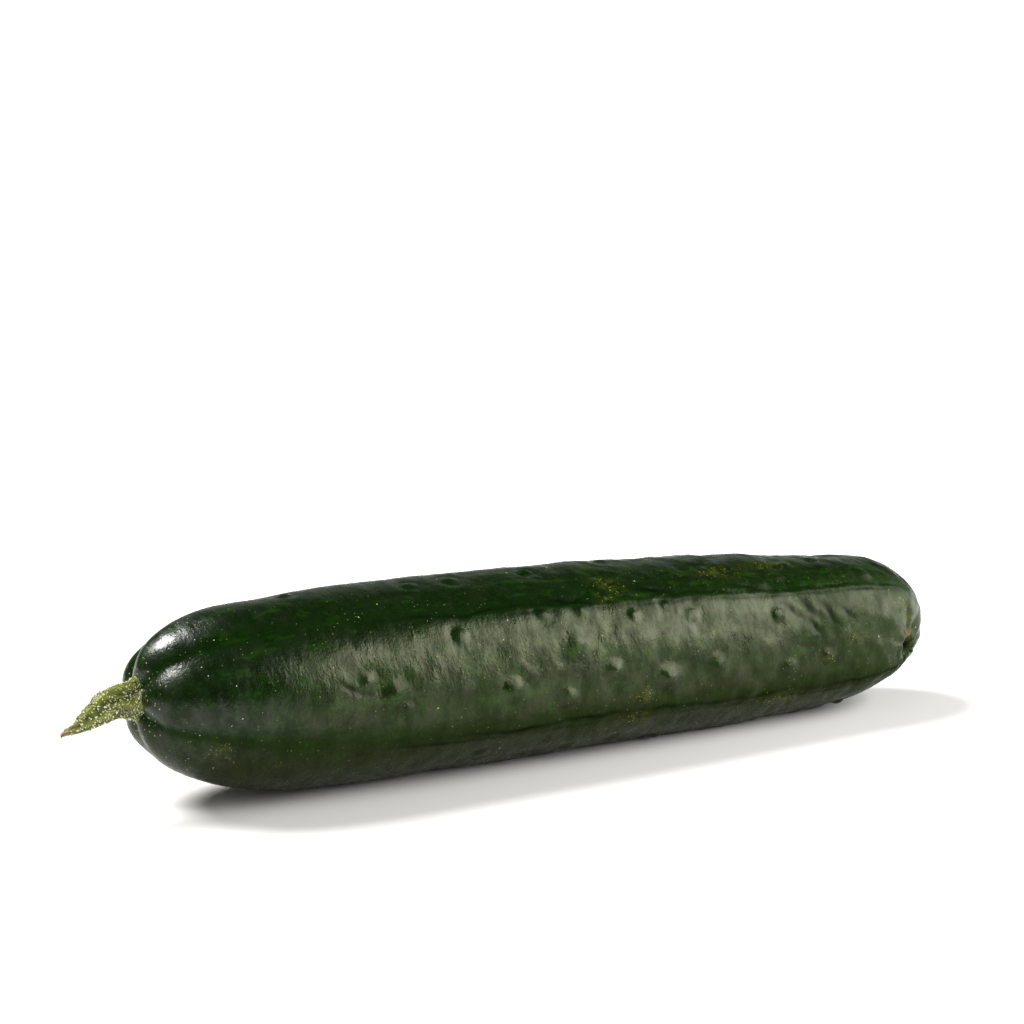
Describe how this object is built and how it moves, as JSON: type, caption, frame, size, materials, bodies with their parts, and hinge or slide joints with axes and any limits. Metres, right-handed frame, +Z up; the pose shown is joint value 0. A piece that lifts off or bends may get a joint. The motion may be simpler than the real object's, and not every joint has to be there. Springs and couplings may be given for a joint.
{
  "type": "cucumber",
  "caption": "Whole slicing cucumber as picked, lying on its side, with a five-lobed stem end and its cut stem.",
  "frame": {"origin": "bottom centre of the whole object's box, on the surface it lies on", "axes": "+X along the fruit from its stem to its blossom end, +Z up, -Y the side with the broad front facet"},
  "size_m": [0.2462, 0.0492, 0.0492],
  "materials": {
    "skin": "satin",
    "stem": "matte"
  },
  "bodies": {
    "root": {"fruit": "skin", "stem": "stem"}
  },
  "joints": []
}
